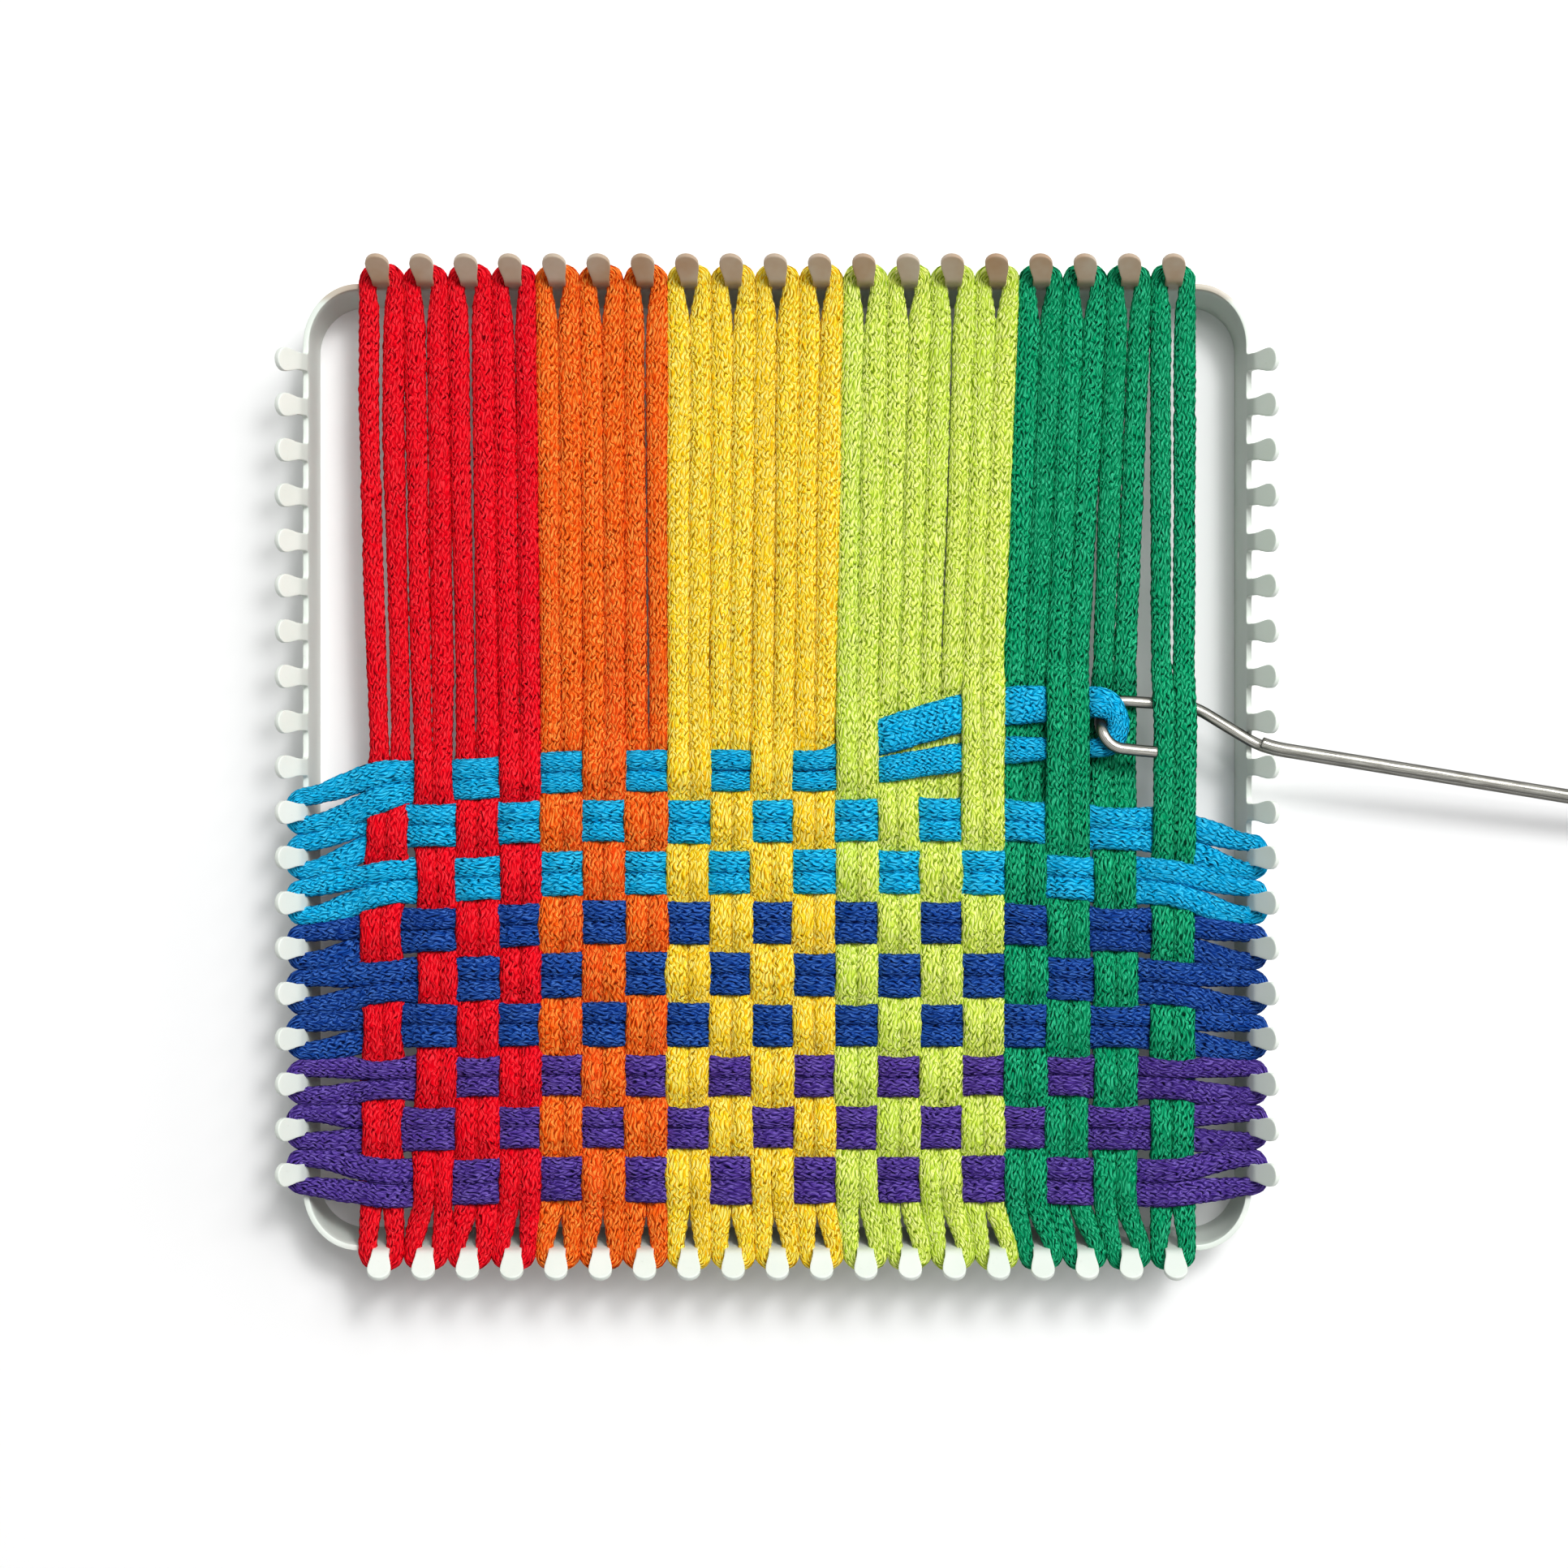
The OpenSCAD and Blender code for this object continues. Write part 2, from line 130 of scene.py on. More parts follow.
class Nodes:
    """Short calls for building the node tree of a new material or world."""

    def __init__(self, owner, output="ShaderNodeOutputMaterial"):
        owner.use_nodes = True
        self.owner = owner
        self.tree = owner.node_tree
        self.tree.nodes.clear()
        self.out = self.add(output)

    def add(self, kind, **settings):
        node = self.tree.nodes.new(kind)
        for key, value in settings.items():
            setattr(node, key, value)
        return node

    def link(self, source, target):
        self.tree.links.new(source, target)

    def put(self, value, target):
        if isinstance(value, bpy.types.NodeSocket):
            self.link(value, target)
        else:
            target.default_value = value

    def math(self, operation, a, b=0.0, c=0.0):
        node = self.add("ShaderNodeMath", operation=operation)
        for value, target in zip((a, b, c), node.inputs):
            self.put(value, target)
        return node.outputs[0]

    def split(self, vector):
        node = self.add("ShaderNodeSeparateXYZ")
        self.link(vector, node.inputs[0])
        return node.outputs

    def noise(self, vector, scale, detail=2.0, roughness=0.5):
        node = self.add("ShaderNodeTexNoise")
        self.link(vector, node.inputs["Vector"])
        node.inputs["Scale"].default_value = scale
        node.inputs["Detail"].default_value = detail
        node.inputs["Roughness"].default_value = roughness
        return node.outputs["Fac"]

    def patches(self, x, x_scale, y, y_scale, detail=2.0, roughness=0.5):
        """Noise over two coordinates, each at a scale of its own."""
        place = self.combine(self.math("MULTIPLY", x, x_scale), self.math("MULTIPLY", y, y_scale))
        return self.noise(place, 1.0, detail, roughness)

    def steps(self, value, low, high, to_low=0.0, to_high=1.0):
        """Goes from to_low to to_high with level ends, as the value goes from low to high."""
        node = self.add("ShaderNodeMapRange", interpolation_type="SMOOTHSTEP")
        for item, target in zip((value, low, high, to_low, to_high), node.inputs):
            self.put(item, target)
        return node.outputs[0]

    def mix(self, factor, a, b):
        node = self.add("ShaderNodeMix", data_type="RGBA")
        self.put(factor, node.inputs["Factor"])
        for value, target in ((a, node.inputs[6]), (b, node.inputs[7])):
            self.put(value if isinstance(value, bpy.types.NodeSocket) else (*value, 1), target)
        return node.outputs[2]

    def combine(self, x, y, z=0.0):
        node = self.add("ShaderNodeCombineXYZ")
        for value, target in zip((x, y, z), node.inputs):
            self.put(value, target)
        return node.outputs[0]

    def bump(self, height, strength, distance):
        node = self.add("ShaderNodeBump")
        node.inputs["Strength"].default_value = strength
        node.inputs["Distance"].default_value = distance
        self.link(height, node.inputs["Height"])
        return node.outputs["Normal"]

    def shader(self, colour, roughness, normal):
        node = self.add("ShaderNodeBsdfPrincipled")
        self.link(colour, node.inputs["Base Color"])
        self.put(roughness, node.inputs["Roughness"])
        self.link(normal, node.inputs["Normal"])
        self.link(node.outputs[0], self.out.inputs["Surface"])
        return node


def linear(red, green, blue):
    """Colour for a shader from its 0 to 255 display values."""
    return tuple(
        (c / 255 / 12.92) if c <= 10 else ((c / 255 + 0.055) / 1.055) ** 2.4
        for c in (red, green, blue)
    )


# Knitted cotton

WALES, SLACK_WALES = 7, 9  # round a loop's tube, and round the thinner slack loop's
COTTON_GLOSS = 0.04


def knit(name, deep, base, light, mottle):
    """Knitted tube: two slanting legs in each wale, painted shade in the gaps between them, loose
    fibres with painted highlights.

    U counts wales round the tube and V counts stitches along it.
    """
    n = Nodes(bpy.data.materials.new(name))
    u, v, _ = n.split(n.add("ShaderNodeUVMap").outputs["UV"])
    # The wales and stitches wander, so the pattern isn't regular.
    wander = n.patches(u, 0.9, v, 0.35)
    sway = n.patches(v, 0.7, u, 1.0)
    v_bent = n.math("ADD", v, n.math("MULTIPLY_ADD", wander, 2.4, -1.2))
    ripple = n.math("SINE", n.math("MULTIPLY", v_bent, TAU))
    u_bent = n.math("ADD", u, n.math("MULTIPLY_ADD", sway, 0.5, -0.25))
    u_bent = n.math("MULTIPLY_ADD", ripple, 0.08, u_bent)
    # Each leg of a stitch is a slanting lens, full at its middle.
    across = n.math("FRACT", u_bent)
    leg = n.math("ABSOLUTE", n.math("MULTIPLY_ADD", across, 2.0, -1.0))
    along = n.math("FRACT", n.math("MULTIPLY_ADD", leg, 0.7, v_bent))
    far = n.math("MULTIPLY_ADD", along, 2.0, -1.0)
    slant = n.math("MULTIPLY_ADD", far, 0.2, -0.5)
    off = n.math("MULTIPLY", n.math("ADD", leg, slant), 1.9)
    lens = n.math("ADD", n.math("MULTIPLY", off, off), n.math("MULTIPLY", far, far))
    body = n.steps(lens, 1.4, 0.3)
    # Gaps lie in columns half a wale apart, in a brick layout, and lean to alternate sides.
    doubled = n.math("MULTIPLY_ADD", u_bent, 2.0, 100.5)
    column = n.math("FLOOR", doubled)
    odd = n.math("MODULO", column, 2.0)
    cell = n.add("ShaderNodeTexWhiteNoise", noise_dimensions="2D")
    beat_at = n.math("MULTIPLY_ADD", odd, 0.5, v_bent)
    n.link(n.combine(column, n.math("FLOOR", beat_at)), cell.inputs["Vector"])
    chance = cell.outputs["Value"]
    rise = n.math("SUBTRACT", n.math("FRACT", beat_at), 0.5)
    lean = n.math("MULTIPLY", rise, n.math("MULTIPLY_ADD", odd, 1.1, -0.55))
    middle = n.math("SUBTRACT", n.math("SUBTRACT", doubled, column), 0.5)
    seam = n.math("ABSOLUTE", n.math("ADD", middle, lean))
    slot = n.math("ABSOLUTE", rise)
    crease_shade = n.steps(seam, 0.22, 0.04, 0.0, 0.65)
    hole = n.math("MULTIPLY", n.steps(seam, 0.22, 0.07), n.steps(slot, 0.38, 0.2))
    hole = n.math("MULTIPLY", hole, n.steps(chance, 0.15, 0.9, 0.05, 1.0))
    fibre = n.noise(
        n.combine(n.math("MULTIPLY", off, 2.2), n.math("MULTIPLY", v_bent, 1.3),
                  n.math("MULTIPLY", column, 3.3)), 1.0, 4.0, 0.7
    )
    patch = n.patches(u, 0.8, v, 0.22, 3.0, 0.6)
    open_knit = n.steps(patch, 0.66, 0.4, 0.3, 1.0)
    hole = n.math("MULTIPLY", hole, open_knit)
    # Painted shade: each leg fades to the yarn's deep colour at its edges.
    colour = n.mix(n.steps(body, 0.0, 0.45), deep, base)
    slow = n.patches(u, 0.05, v, 0.013, 1.0)
    colour = n.mix(n.steps(patch, 0.5, 0.72, 0.0, 0.5), colour, mottle)
    colour = n.mix(n.steps(slow, 0.48, 0.66, 0.0, 0.75), colour, mottle)
    # Painted shade in the creases between the wales.
    colour = n.mix(n.math("MULTIPLY", crease_shade, open_knit), colour, deep)
    # Painted highlight: lit fibres on the middle of each leg turn to the yarn's light colour.
    lit_fibre = n.math("MULTIPLY", n.steps(fibre, 0.42, 0.6), n.steps(body, 0.35, 1.0, 0.05, 0.8))
    lit_fibre = n.math("MULTIPLY", lit_fibre, n.math("SUBTRACT", 1.0, crease_shade))
    colour = n.mix(lit_fibre, colour, light)
    # The gaps of a pale yarn are lighter, because its fibres pass light on.
    dark = 0.1 + 0.9 * (0.21 * deep[0] + 0.72 * deep[1] + 0.07 * deep[2])
    shadow = tuple(c * dark for c in deep)
    colour = n.mix(n.math("MULTIPLY", hole, 0.92), colour, shadow)
    height = n.math("SUBTRACT", n.math("MULTIPLY_ADD", fibre, 0.35, body), hole)
    shader = n.shader(colour, 1.0, n.bump(height, 0.85, 0.0003))
    shader.inputs["Specular IOR Level"].default_value = COTTON_GLOSS
    return n.owner


# Each yarn: its shade between the stitches, its own colour, its lit fibres and its mottling.
YARNS = {
    "red_knit": ((192, 0, 20), (250, 6, 28), (255, 60, 70), (232, 2, 24)),
    "orange_knit": ((220, 58, 4), (254, 98, 16), (255, 172, 80), (246, 72, 18)),
    "yellow_knit": ((246, 172, 0), (255, 224, 32), (255, 248, 150), (255, 206, 16)),
    "lime_knit": ((156, 194, 28), (226, 244, 90), (250, 252, 176), (196, 228, 60)),
    "green_knit": ((0, 76, 48), (0, 152, 98), (64, 204, 152), (0, 134, 84)),
    "purple_knit": ((32, 18, 84), (78, 50, 144), (130, 108, 196), (62, 38, 124)),
    "navy_knit": ((4, 24, 88), (16, 66, 152), (76, 124, 204), (12, 50, 130)),
    "cyan_knit": ((0, 100, 154), (0, 178, 234), (72, 214, 254), (0, 158, 216)),
}
WARP_YARNS = (
    ["red_knit"] * 4 + ["orange_knit"] * 3 + ["yellow_knit"] * 4 + ["lime_knit"] * 4
    + ["green_knit"] * 4
)
WEFT_YARNS = ["purple_knit"] * 3 + ["navy_knit"] * 3 + ["cyan_knit"] * 3


# Loops

MIDDLE = (PEGS + 1) / 2
RING_STEP = 0.46
RELIEF, WOBBLE = 0.05, 0.1
BULGE = 0.55
WARP_STITCH, WEFT_STITCH = 1.9, 1.8  # lengths of a stitch
SNUG_HALF = 1.05  # from the middle of a peg to a strand pressed against its neck
FREE_HALF, FAN_HALF = 4.42, 4.5  # to a strand's outer side there, in the warp and in the weft
WARP_OVER, WARP_UNDER = 4.2, 4.6  # from the middle of a column to a strand's outer side
WEFT_OVER, WEFT_UNDER = 4.05, 4.7  # from the middle of a row

# Half the gap between a column's free strands, and how much narrower a half of some columns is.
FREE_GAPS = {1: 0.36, 2: 0.08, 3: 0.26, 4: 0.04, 7: 0.16, 14: 0.12, 18: 0.05, 19: 0.26}
NARROW = {1: 0.35, 2: 0.5, 4: 0.15}

# How far the rows sag at their left and right ends, and the half width of their strands on top.
ROW_SAGS = {1: (0.9, 0.9), 2: (0.3, 0.3), 3: (0.6, 0.4), 4: (0.1, 0.6), 5: (1.3, 1.4),
            6: (1.7, 1.7), 7: (1.7, 1.8), 8: (1.4, 1.8), 9: (2.4, 0)}
ROW_OVER = {1: 4.5, 2: 3.9, 3: 3.7, 7: 4.2}


def peg_x(c):
    return (c - MIDDLE) * END_PITCH


def peg_y(r):
    return (r - MIDDLE) * SIDE_PITCH


def column_x(c):
    """Middle of a column in the weave, which is drawn in, but not at its two edges."""
    return peg_x(c) - DRAW_IN * (c - DRAW_COLUMN) * min(1, 0.75 * min(c - 1, PEGS - c))


def row_y(r):
    return FIRST_ROW + (r - 1) * ROW_PITCH


# The outer edges of the ninth loop right of column 11, as [x, distance from the row's middle].
MID_9 = row_y(ROWS)
SLACK_TOP = np.array([[9.7, 3.55], [17.2, 9], [36, 14.8], [45, 16.4], [64.6, 16.4]])
SLACK_LOW = np.array([[9.7, -3.55], [17.2, -3], [36, -0.5], [45, 1.2], [61, 2.6], [65, 2.6]])


def top_edge(x):
    return MID_9 + np.interp(x, SLACK_TOP[:, 0], SLACK_TOP[:, 1])


def low_edge(x):
    return MID_9 + np.interp(x, SLACK_LOW[:, 0], SLACK_LOW[:, 1])


def weft_over(r, c):
    """Is the weft on top there? The ninth row skips a beat at column 14."""
    return (r + c) % 2 == 0 if r < ROWS or c < 14 else c == 14 or c % 2 == 0


def warp_z(r, c):
    """Height of a column at a row. The last three pass over or under the hook's bend."""
    if r == ROWS and c >= 17:
        return LOW_Z if c == 18 else TURN_Z
    return REST_Z + (-RISE if weft_over(r, c) else RISE)


def weft_z(r, c):
    """Height of a row at a column. The ninth one rises to the hook's bend at column 17."""
    if r == ROWS and c == 17:
        return TURN_Z - 2 * RISE
    return REST_Z + (RISE if weft_over(r, c) else -RISE)


GRID_STEP = 0.2
GRID = np.arange(-120, 120.01, GRID_STEP)


def eased(knots, blur):
    """Values on GRID of the line through [place, value] knots, with its corners rounded off."""
    knots = np.array(knots, float)
    values = np.interp(GRID, knots[:, 0], knots[:, 1])
    reach = int(3 * blur / GRID_STEP)
    kernel = np.exp(-0.5 * (np.arange(-reach, reach + 1) * GRID_STEP / blur) ** 2)
    return np.convolve(np.pad(values, reach, mode="edge"), kernel / kernel.sum(), "valid")


def drift(rng, amount, length):
    """Slow random wander on GRID."""
    places = np.arange(-130, 131, length)
    return eased(np.stack([places, rng.normal(0, amount, len(places))], 1), length / 2.5)


def row_mid(r):
    """Middle of a row on GRID, from its left peg to its right peg."""
    p, m = peg_y(r), row_y(r)
    left, right = ROW_SAGS[r]
    start, end = [[-SIDE_IN, p], [-SIDE_IN + 1.5, p]], [[SIDE_IN - 1.5, p], [SIDE_IN, p]]
    return eased(start + [[-76, m - left], [-62, m - 0.8 * left], [-38, m], [45, m],
                          [62, m - 0.8 * right], [76, m - right]] + end, 2.5)


def row_at(r, x):
    """Middle of a row where a column crosses it."""
    return float(np.interp(x, GRID, row_mid(r)))


def plateaus(stretches, outside, bulge=0.0, inset=1.5):
    """Knots that hold each [from, to, value] stretch level and fall back outside them.

    A stretch above the outside level also rises by the bulge in its middle.
    """
    first, last = stretches[0], stretches[-1]
    knots = [[first[0] - 3, outside]]
    for start, end, value in stretches:
        middle = [(start + end) / 2, value + bulge * (value > outside)]
        knots += [[start + inset, value], middle, [end - inset, value]]
    return knots + [[last[1] + 3, outside]]


# A loop's path has rows of [along, across, z, half width, half depth].


def strand(mid, inner, outer, side, height, depth):
    """Rows of one strand on GRID, at +1 or -1 beside its loop's middle."""
    across, half = mid + side * (inner + outer) / 2, (outer - inner) / 2
    return np.array([GRID, across, height, half, np.broadcast_to(depth, GRID.shape)]).T


def pair(rng, mid, inner, outer, height, split, calm, waves):
    """Both strands of a loop. Each strays sideways and up by the [amount, length] of its waves."""
    sides = []
    for side in (1, -1):
        wave, lift = [drift(rng, *wave) * calm for wave in waves]
        inner_side, depth = inner + side * split, LOOP_T / 2
        sides.append(strand(mid + wave, inner_side, outer, side, height + lift, depth))
    return sides


def wrap_start(back):
    """Where the half turn behind a peg starts, along the loop."""
    return back + WRAP_T / 2 - WRAP_R


def around_peg(mid, outer, back, sign):
    """Half turn round the back of a peg, from the +across side to the -across side at sign +1."""
    angle = np.linspace(0, math.pi, 17)[1:-1]
    c, s = np.cos(angle), np.sin(angle)
    rounded = 0.8
    across = mid + sign * (SNUG_HALF + outer) / 2 * np.sign(c) * np.abs(c) ** rounded
    along = sign * (wrap_start(back) + WRAP_R * np.abs(s) ** rounded)
    wide = (outer - SNUG_HALF) / 2
    half = WRAP_HALF + (wide - WRAP_HALF) * np.abs(c) ** 1.5
    return np.array([along, across, np.full_like(c, REST_Z), half, 1.3 - 0.2 * np.abs(c)]).T


def loop_path(sides, mid, outer, back):
    """Closed path up one strand, round a peg, down the other strand and round the other peg."""
    up, down = [rows[np.abs(GRID) <= wrap_start(back)] for rows in sides]
    turns = [around_peg(mid, outer, back, sign) for sign in (1, -1)]
    return np.concatenate([up, turns[0], down[::-1], turns[1]])


def section(points, shift):
    """Points of the flattened tube's section at equal steps round it, from a share of a turn."""
    power = 2.3
    usual_width = 1.6  # of a tube 1 deep
    angle = np.linspace(0, TAU, 721)
    c, s = np.cos(angle), np.sin(angle)
    x = np.sign(c) * np.abs(c) ** (2 / power)
    z = np.sign(s) * np.abs(s) ** (2 / power)
    length = np.concatenate([[0], np.cumsum(np.hypot(np.diff(usual_width * x), np.diff(z)))])
    places = (np.arange(points) / points + shift) % 1 * length[-1]
    return np.interp(places, length, x), np.interp(places, length, z)


def tube(name, path, stitch, rng, swap, wales=WALES):
    """Closed knitted tube along a path, with its wales and stitches as ridges and as UVs.

    The stitch function gives a stitch's length at each row, and swap turns the loop along Y.
    """
    count = 4 * wales
    gaps = np.linalg.norm(np.diff(path[:, :3], axis=0), axis=1)
    keep = np.concatenate([[True], gaps > 1e-6])
    closed = np.concatenate([path[keep], path[:1]])
    gaps = np.linalg.norm(np.diff(closed[:, :3], axis=0), axis=1)
    length = np.concatenate([[0], np.cumsum(gaps)])
    rings = int(length[-1] / RING_STEP)
    at = np.arange(rings) / rings * length[-1]
    p = np.stack([np.interp(at, length, closed[:, i]) for i in range(5)], 1)
    centre = p[:, [1, 0, 2]] if swap else p[:, :3]
    tangent = np.roll(centre, -1, 0) - np.roll(centre, 1, 0)
    tangent /= np.linalg.norm(tangent, axis=1)[:, None]
    side = np.stack([tangent[:, 1], -tangent[:, 0], np.zeros(rings)], 1)
    side /= np.linalg.norm(side, axis=1)[:, None]
    up = np.cross(side, tangent)
    turn = at / length[-1] * TAU
    twist = rng.uniform(0, 1) + sum(
        rng.normal(0, 0.035) * np.sin(k * turn + rng.uniform(0, TAU)) for k in range(1, 7)
    )
    # V comes to a whole number of stitches, so the pattern closes on itself.
    per_stitch = np.interp(at, length, stitch(closed))
    v = np.cumsum(np.full(rings, length[-1] / rings) / per_stitch)
    v *= round(v[-1]) / v[-1]
    v -= v[0]
    points = np.zeros((rings, count, 3))
    crest = np.where(np.arange(count) % 2, 1.0, -1.0)
    wobble = rng.normal(0, WOBBLE, rings + 4)
    wobble = np.convolve(wobble, [0.1, 0.25, 0.3, 0.25, 0.1], "valid")
    for k in range(rings):
        x, z = section(count, twist[k])
        bead = 0.5 + 0.5 * np.cos(TAU * v[k] + math.pi * (np.arange(count) // 2 % 2))
        lift = RELIEF * crest * np.where(crest > 0, 3 * bead, 1) + wobble[k]
        points[k] = (
            centre[k]
            + side[k] * (x * (p[k, 3] + lift))[:, None]
            + up[k] * (z * (p[k, 4] + lift))[:, None]
        )
    total_v = round(v[-1] + v[1])
    away = 37 * rng.integers(0, 40)  # a part of the noise that no other loop shows
    return tube_mesh(name, points, np.append(v, total_v) + away)


def tube_mesh(name, points, v):
    """Mesh of closed rings of points, with a wale on each four faces of U, and V by ring."""
    rings, count = points.shape[:2]
    k, j = np.meshgrid(np.arange(rings), np.arange(count), indexing="ij")
    k2, j2 = (k + 1) % rings, (j + 1) % count
    faces = np.stack([k * count + j, k * count + j2, k2 * count + j2, k2 * count + j], -1)
    us = np.stack([j, j + 1, j + 1, j], -1) / 4
    vs = np.stack([v[k], v[k], v[k + 1], v[k + 1]], -1)
    mesh = bpy.data.meshes.new(name)
    mesh.vertices.add(rings * count)
    mesh.vertices.foreach_set("co", (points.reshape(-1, 3) * MM).astype(np.float32).ravel())
    corners = faces.reshape(-1)
    mesh.loops.add(len(corners))
    mesh.loops.foreach_set("vertex_index", corners.astype(np.int32))
    mesh.polygons.add(rings * count)
    mesh.polygons.foreach_set("loop_start", np.arange(0, len(corners), 4, dtype=np.int32))
    mesh.polygons.foreach_set("use_smooth", np.ones(rings * count, bool))
    layer = mesh.uv_layers.new(name="UVMap")
    uv = np.stack([us.reshape(-1), vs.reshape(-1)], 1)
    layer.data.foreach_set("uv", uv.astype(np.float32).ravel())
    mesh.update(calc_edges=True)
    mesh.validate()
    return add_object(name, mesh)


def dress(piece, node, material):
    piece.data.materials.append(material)
    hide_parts(node)


# How far some columns stray sideways, as [place along Y, shift] knots.
COLUMN_SHIFTS = {
    1: [[-70, 0], [-50, 0.3], [-28, -0.1], [-18, 1.2], [2, 1.7], [40, 0.6], [70, 0]],
    2: [[-75, 0], [-50, 0.9], [-25, 0.8], [-8, 0.2], [4, 0], [40, 0]],
}


def warp_loop(c, materials):
    """Warp loop: free at the top, woven below, fanned to its two end pegs."""
    rng = np.random.default_rng(100 + c)
    p, m = peg_x(c), column_x(c)
    sag = max(0.0, MID_9 - row_at(ROWS, m)) if m < 0 else 0.0
    top = float(top_edge(m + STEP)) - sag
    low = row_at(1, m) - STEP
    zs = [[row_at(r, m) - STEP, row_at(r, m) + STEP, warp_z(r, c)] for r in range(1, ROWS)]
    zs.append([float(low_edge(m - STEP)) - 0.1 - sag, top + 0.1, warp_z(ROWS, c)])
    height = eased(plateaus(zs, REST_Z, BULGE), 0.9)
    over = WARP_OVER - NARROW.get(c, 0)
    widths = [[a, b, over + rng.normal(0, 0.1) if z > REST_Z else WARP_UNDER] for a, b, z in zs]
    outer = [[-END_IN, FREE_HALF], [-END_IN + 6, FREE_HALF]] + plateaus(widths, over)
    outer += [[20, 4.15], [60, 4.36], [80, FREE_HALF], [END_IN, FREE_HALF]]
    outer = eased(outer, 1.2)
    slack = FREE_GAPS.get(c, rng.uniform(-0.15, 0.0))
    inner = eased([[-END_IN, SNUG_HALF], [-END_IN + 0.8, SNUG_HALF], [-90.4, 0.6],
                   [-87 + rng.uniform(-1, 2), 0], [-84, 0], [low + 2, -0.18], [top - 3, -0.18],
                   [top + 8, slack], [60, slack], [86.4 + rng.uniform(-1.5, 0.5), slack + 0.04],
                   [90.4, 0.55], [END_IN - 0.8, SNUG_HALF], [END_IN, SNUG_HALF]], 0.9)
    mid = eased([[-END_IN, p], [low - 2, m], [top + 4, m], [END_IN, p]], 3)
    if c in COLUMN_SHIFTS:
        mid = mid + eased(COLUMN_SHIFTS[c], 4)
    calm = eased([[-92, 0], [-80, 1], [70, 1], [90, 0]], 3)
    split = drift(rng, 0.28, 40) * calm
    weave = eased([[-82, 0], [-78, 1], [low_edge(m), 1], [top + 8, 0]], 2)
    mid = mid + drift(rng, 0.2, 22) * weave
    sides = pair(rng, mid, inner, outer, height, split, calm, ((0.05, 14), (0.12, 18)))
    path = loop_path(sides, p, FREE_HALF, WRAP_BACK_END)
    piece = tube(f"warp_{c:02d}", path, lambda q: np.full(len(q), WARP_STITCH), rng, True)
    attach(piece, "loom")
    dress(piece, f"warp_loop_{c:02d}", materials[WARP_YARNS[c - 1]])


def weft_heights(r, upto=PEGS):
    """[from, to, height] of a row's crossings along X, up to a column."""
    return [[column_x(c) - STEP, column_x(c) + STEP, weft_z(r, c)] for c in range(1, upto + 1)]


def weft_loop(r, materials):
    """Finished weft loop, fanned to a left and a right peg."""
    rng = np.random.default_rng(200 + r)
    p = peg_y(r)
    zs = weft_heights(r)
    height = eased(plateaus(zs, REST_Z, BULGE), 0.9)
    over = ROW_OVER.get(r, WEFT_OVER)
    widths = [[a, b, over + rng.normal(0, 0.12) if z > REST_Z else WEFT_UNDER] for a, b, z in zs]
    outer = [[-SIDE_IN, FAN_HALF], [-SIDE_IN + 1, FAN_HALF], [-87, 5.0], [-83, 5.1]]
    outer += plateaus(widths, 4.9)
    outer += [[83, 5.1], [87, 5.0], [SIDE_IN - 1, FAN_HALF], [SIDE_IN, FAN_HALF]]
    outer = eased(outer, 1.0)
    closed = rng.uniform(80, 85.5, 2)
    inner = eased([[-SIDE_IN, SNUG_HALF], [-SIDE_IN + 0.8, SNUG_HALF], [-88, 0.8],
                   [-closed[0], 0.1], [-76, -0.08], [76, -0.08], [closed[1], 0.1], [88, 0.8],
                   [SIDE_IN - 0.8, SNUG_HALF], [SIDE_IN, SNUG_HALF]], 0.9)
    calm = eased([[-90, 0], [-80, 1], [80, 1], [90, 0]], 3)
    mid = row_mid(r) + drift(rng, 0.2, 22) * calm
    split = drift(rng, 0.2, 40) * calm
    sides = pair(rng, mid, inner, outer, height, split, calm, ((0.05, 16), (0.06, 18)))
    path = loop_path(sides, p, FAN_HALF, WRAP_BACK_SIDE)
    piece = tube(f"weft_{r}", path, lambda q: np.full(len(q), WEFT_STITCH), rng, False)
    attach(piece, "loom")
    dress(piece, f"weft_loop_{r}", materials[WEFT_YARNS[r - 1]])


# The slack loop's turn round the hook: where it starts, and its inner and outer edge along X.
TURN_FROM, TURN_IN, TURN_OUT = 61.6, 64.3, 68.6


